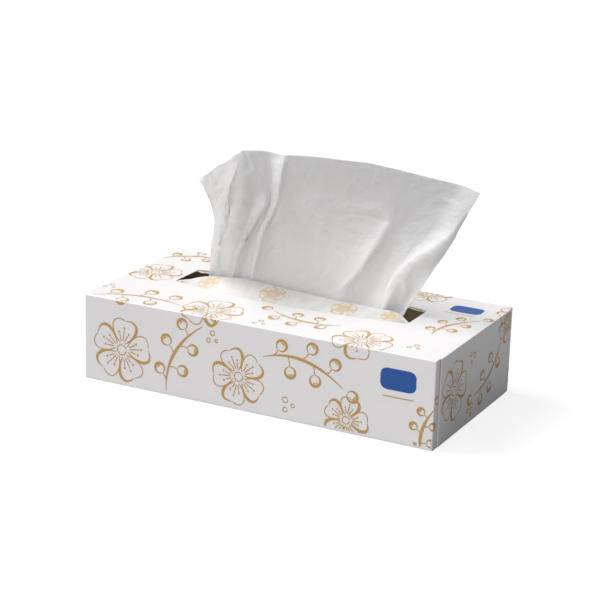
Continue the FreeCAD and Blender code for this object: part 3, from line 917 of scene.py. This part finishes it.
class TissueSheet(bpy.types.PropertyGroup):
    """The sheet that stands out of the slit."""
    colour: colour_setting("Colour", "Colour of the tissue", "#F6F5F5")
    # The crushed colour is painted light: whiter along the ridges as a painted highlight, and at the slit
    # where the sheet is shaded.
    crushed: colour_setting("Crushed", "Colour of the fibres along a crease", "#FFFFFF")
    single_through: share_setting("Light through one ply", "Share of the light that passes there", 0.92)
    crushed_through: share_setting("Light through creases", "The same where the sheet is crushed", 0.4)
    # Gathered also paints the sheet whiter at the slit: painted light where the sheet is shaded.
    gathered: share_setting("Gathered", "How thick the sheet lies at the slit", 0.8)
    thickness: FloatProperty(name="Thickness", description="Thickness of the two plies", default=0.00025,
                             unit="LENGTH")
    crease: share_setting("Crease", "Sharpness of the ridges at the slit", 0.85)
    density: FloatProperty(name="Density", description="Columns of faces per millimetre of the top edge",
                           default=1.75, min=0.1)


class TissueStage(bpy.types.PropertyGroup):
    """Lights of the studio."""
    sky: lamp_strength("Sky", "even light from all sides", 0.19)
    key: lamp_strength("Key", "wide lamp over the left end", 2.75)
    key_width: lamp_width("Key width", 36)
    key_from: lamp_from("Key from", (-0.66, -0.1, 0.74))
    top: lamp_strength("Top", "very wide lamp overhead", 0.55)
    top_width: lamp_width("Top width", 70)
    top_from: lamp_from("Top from", (-0.2, -0.2, 0.96))
    fill: lamp_strength("Fill", "very wide lamp in front", 1.28)
    fill_width: lamp_width("Fill width", 80)
    fill_from: lamp_from("Fill from", (-0.15, -0.88, 0.45))


class CardOperator(bpy.types.Operator):
    """Finish the folded carton in coated board"""
    bl_idname = "tissue_box.card"
    bl_label = "Carton"

    def execute(self, context):
        carton = bpy.data.objects["carton"]
        carton.data.materials.clear()
        carton.data.materials.append(board_material())
        return {"FINISHED"}


class PrintOperator(bpy.types.Operator):
    """Print the line drawing and the plain tags on the outside of the carton"""
    bl_idname = "tissue_box.print_lines"
    bl_label = "Print"

    def execute(self, context):
        settings = context.scene.tissue_print

        def place(x, v, level=0.0):
            return on_carton(x, v, settings.lift + level)

        bm = bmesh.new()
        for kind, x, v, size, angle in PRINT_LAYOUT:
            DRAW[kind](pen(bm, angle, Vector((x, v)), place), size)
        for left, right, v in RULES:
            line = [Vector((left, v)), Vector((mix(left, right, 0.5), v)), Vector((right, v))]
            stroke(bm, line, thin_line, place)
        if not bm.faces:
            raise RuntimeError("the print has no lines")
        ink = ink_material("pearl_gold_ink", list(settings.ink), linear("#BD9452"), 0.1)
        lines = make_piece("carton_print", bm, [ink], smooth=False)
        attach(lines, "root")

        bm = bmesh.new()
        for tag in TAGS:
            draw_tag(bm, *tag, place)
        blue = ink_material("blue_offset_ink", list(settings.tag), linear("#245AA8"), 0.0)
        tags = make_piece("carton_tags", bm, [blue], smooth=False)
        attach(tags, "root")
        return {"FINISHED"}


class FilmOperator(bpy.types.Operator):
    """Make the milky film under the opening, with its slit and its printed patches"""
    bl_idname = "tissue_box.film"
    bl_label = "Slit film"

    def execute(self, context):
        settings = context.scene.tissue_film
        bm = bmesh.new()
        # This layer holds the painted highlight along the cut lips.
        lip = bm.verts.layers.float.new("lip")
        for side in (-1, 1):
            half = bmesh.ops.create_grid(bm, x_segments=settings.columns, y_segments=settings.rows, size=0.5)
            for vertex in half["verts"]:
                vertex.co, vertex[lip] = film_point(side, vertex.co.x + 0.5, vertex.co.y + 0.5)
        lay_map(bm, "film", lambda vertex: vertex.co.xy)
        bmesh.ops.remove_doubles(bm, verts=bm.verts, dist=FILM_SEAM)
        bmesh.ops.recalc_face_normals(bm, faces=bm.faces)
        if sum(face.normal.z for face in bm.faces) < 0:
            bmesh.ops.reverse_faces(bm, faces=bm.faces)
        film = make_piece("film_sheet", bm, [film_material()])
        surface = BVHTree.FromObject(film, context.evaluated_depsgraph_get())
        thicken(film, settings.thickness, -1)
        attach(film, "root")
        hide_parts("slit_film")

        def on_film(x, y, level=0.0):
            hit = surface.ray_cast(Vector((x * MM, y * MM, 1.0)), Vector((0, 0, -1)))
            if hit[0] is None:
                return None
            height = hit[0].z / MM + INK_OVER_FILM + level
            return Vector((x, y, height)) if height > FILM_PRINT_LOW else None

        bm = bmesh.new()
        for x, share, size in FILM_PRINT:
            y = SLIT - mix(opening_half_width(x), SLIT_HALF_WIDTH, share)
            draw_blossom(pen(bm, x, Vector((x, y)), on_film), size)
        ink = ink_material("pale_gold_film_ink", linear("#D3B98E"), linear("#DFCBA6"), 0.0)
        patches = make_piece("film_print", bm, [ink], smooth=False)
        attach(patches, "root")
        return {"FINISHED"}


class StackOperator(bpy.types.Operator):
    """Make the folded tissues that are still in the carton"""
    bl_idname = "tissue_box.stack"
    bl_label = "Folded stack"

    def execute(self, context):
        bm = bmesh.new()
        bmesh.ops.create_cube(bm, size=1.0)
        bmesh.ops.scale(bm, vec=STACK_HIGH - STACK_LOW, verts=bm.verts)
        bmesh.ops.translate(bm, vec=(STACK_HIGH + STACK_LOW) / 2, verts=bm.verts)
        bmesh.ops.bevel(bm, geom=self.long_edges(bm), offset=STACK_ROUND, segments=ROUND_FACES, profile=0.5,
                        affect="EDGES", material=-1)
        bmesh.ops.subdivide_edges(bm, edges=self.long_edges(bm), cuts=STACK_CUTS, use_grid_fill=True)
        stack = make_piece("folded_sheets", bm, [stack_material()])
        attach(stack, "root")
        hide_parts("tissue_stack")
        return {"FINISHED"}

    def long_edges(self, bm):
        """The edges that run along the carton."""
        return [edge for edge in bm.edges if abs(edge.verts[0].co.x - edge.verts[1].co.x) > 1]


class SheetOperator(bpy.types.Operator):
    """Make the gathered sheet that stands out of the slit"""
    bl_idname = "tissue_box.sheet"
    bl_label = "Standing sheet"

    def execute(self, context):
        settings = context.scene.tissue_sheet
        net = [net_row(kind, share) for kind, share, faces in NET]
        fold_lines = [list(line) for line in zip(*net)]
        columns = spaced(net[-1], lambda index, width: max(LEAST_FACES, round(width * settings.density)))
        rows = spaced(fold_lines[len(FOLDS) // 2], lambda index, length: NET[index][2])

        bm = bmesh.new()
        layers = bm.verts.layers.float.new("layers")
        grid = bmesh.ops.create_grid(bm, x_segments=len(columns) - 1, y_segments=len(rows) - 1, size=0.5)
        place, plies_and_painted_light = {}, {}
        lines = [[along_fold(line, t) for line in fold_lines] for t, flat in rows]
        for vertex in grid["verts"]:
            column, flat_x = columns[round((vertex.co.x + 0.5) * (len(columns) - 1))]
            row = round((vertex.co.y + 0.5) * (len(rows) - 1))
            rise = clamp((rows[row][0] - SLIT_ROW) / (len(NET) - 1 - SLIT_ROW))
            place[vertex] = (flat_x, rows[row][1], rise)
            # The sheet is marked thicker and painted whiter towards the slit, painted light where it is
            # shaded. Its free corner is marked as a single ply.
            plies_and_painted_light[vertex] = settings.gathered * (1 - rise) ** 2 - clamp(CORNER_FOLDS - column) * rise
            vertex.co = across_folds(lines[row], column, settings.crease * (1 - RIDGE_SOFTENING * rise))
        lay_map(bm, "sheet", lambda vertex: place[vertex][:2])
        bm.normal_update()
        shift({v: v.normal * crumple(*place[v]) * clamp(place[v][2] * CRUMPLE_GROWTH) for v in bm.verts})
        bm.normal_update()
        add_creases(bm, layers, plies_and_painted_light, lambda vertex: clamp(place[vertex][2] * CREASE_GROWTH))
        bmesh.ops.smooth_vert(bm, verts=bm.verts, factor=SMOOTHING, use_axis_x=True, use_axis_y=True,
                              use_axis_z=True)
        sheet = make_piece("standing_sheet", bm, [tissue_material()])
        thicken(sheet, settings.thickness, 0)
        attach(sheet, "root")
        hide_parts("popup_tissue")
        return {"FINISHED"}


class StageOperator(bpy.types.Operator):
    """Set the camera of the photograph, the floor and the soft studio lights"""
    bl_idname = "tissue_box.stage"
    bl_label = "Stage"

    def execute(self, context):
        self.camera(context)
        self.floor(context)
        self.lights(context)
        context.scene.view_settings.view_transform = "Standard"
        return {"FINISHED"}

    def camera(self, context):
        right, up, away, place = photo_axes()
        data = bpy.data.cameras.new("photo_camera")
        data.sensor_width = SENSOR
        data.lens = FOCAL_PIXELS / PHOTO_WIDTH * SENSOR
        camera = bpy.data.objects.new("photo_camera", data)
        turn = Matrix((right, up, away)).transposed()
        camera.matrix_world = Matrix.Translation(place * MM) @ turn.to_4x4()
        context.scene.collection.objects.link(camera)
        context.scene.camera = camera

    def floor(self, context):
        material, tree = new_material("pale_floor")
        paint = add(tree, "BsdfDiffuse", Color=(FLOOR_GREY, FLOOR_GREY, FLOOR_GREY, 1.0))
        pale = add(tree, "BsdfDiffuse", Color=(SEEN_FLOOR_GREY, SEEN_FLOOR_GREY, SEEN_FLOOR_GREY, 1.0))
        glow = add(tree, "Emission", Color=(1, 1, 1, 1), Strength=SEEN_FLOOR_GLOW)
        seen = add(tree, "LightPath").outputs["Is Camera Ray"]
        lit = add(tree, "AddShader", _0=pale, _1=glow)
        finish_material(tree, add(tree, "MixShader", _0=seen, _1=paint, _2=lit))
        bm = bmesh.new()
        bmesh.ops.create_circle(bm, cap_ends=True, radius=FLOOR_RADIUS, segments=64)
        floor = make_piece("floor", bm, [material], smooth=False)

    def lights(self, context):
        settings = context.scene.tissue_stage
        world = bpy.data.worlds.new("studio")
        world.use_nodes = True
        context.scene.world = world
        tree = world.node_tree
        tree.nodes.clear()
        path = add(tree, "LightPath").outputs
        # The camera sees white all round, and gloss mirrors it half as bright.
        mirrored = reckon(tree, "MULTIPLY", path["Is Glossy Ray"], 0.5)
        white = reckon(tree, "MAXIMUM", path["Is Camera Ray"], mirrored)
        sky = add(tree, "Background", Color=(1, 1, 1, 1), Strength=graded(tree, white, 0, 1, settings.sky, 1))
        add(tree, "OutputWorld", Surface=sky)
        for name in ("key", "top", "fill"):
            data = bpy.data.lights.new(f"{name}_lamp", "SUN")
            data.energy = getattr(settings, name)
            data.angle = getattr(settings, f"{name}_width")
            lamp = bpy.data.objects.new(data.name, data)
            direction = Vector(getattr(settings, f"{name}_from"))
            lamp.rotation_euler = (-direction).to_track_quat("-Z", "Y").to_euler()
            context.scene.collection.objects.link(lamp)


class TissueBoxPanel(bpy.types.Panel):
    """Lists the pieces of the tissue box"""
    bl_idname = "VIEW3D_PT_tissue_box"
    bl_label = "Tissue Box"
    bl_space_type = "VIEW_3D"
    bl_region_type = "UI"
    bl_category = "Tissue Box"

    def draw(self, context):
        for operator in OPERATORS:
            self.layout.operator(operator.bl_idname)
        for name in GROUPS:
            box = self.layout.box()
            group = getattr(context.scene, name)
            for field in type(group).__annotations__:
                box.prop(group, field)


OPERATORS = (CardOperator, PrintOperator, FilmOperator, StackOperator, SheetOperator, StageOperator)
GROUPS = {"tissue_card": TissueCard, "tissue_print": TissuePrint, "tissue_film": TissueFilm,
          "tissue_sheet": TissueSheet, "tissue_stage": TissueStage}
CLASSES = (*GROUPS.values(), *OPERATORS, TissueBoxPanel)


def register():
    for item in CLASSES:
        bpy.utils.register_class(item)
    for name, group in GROUPS.items():
        setattr(bpy.types.Scene, name, PointerProperty(type=group))


def unregister():
    for name in GROUPS:
        delattr(bpy.types.Scene, name)
    for item in reversed(CLASSES):
        bpy.utils.unregister_class(item)


def main():
    register()
    bpy.ops.tissue_box.card()
    bpy.ops.tissue_box.print_lines()
    bpy.ops.tissue_box.film()
    bpy.ops.tissue_box.stack()
    bpy.ops.tissue_box.sheet()
    bpy.ops.tissue_box.stage()


if __name__ == "__main__":
    main()
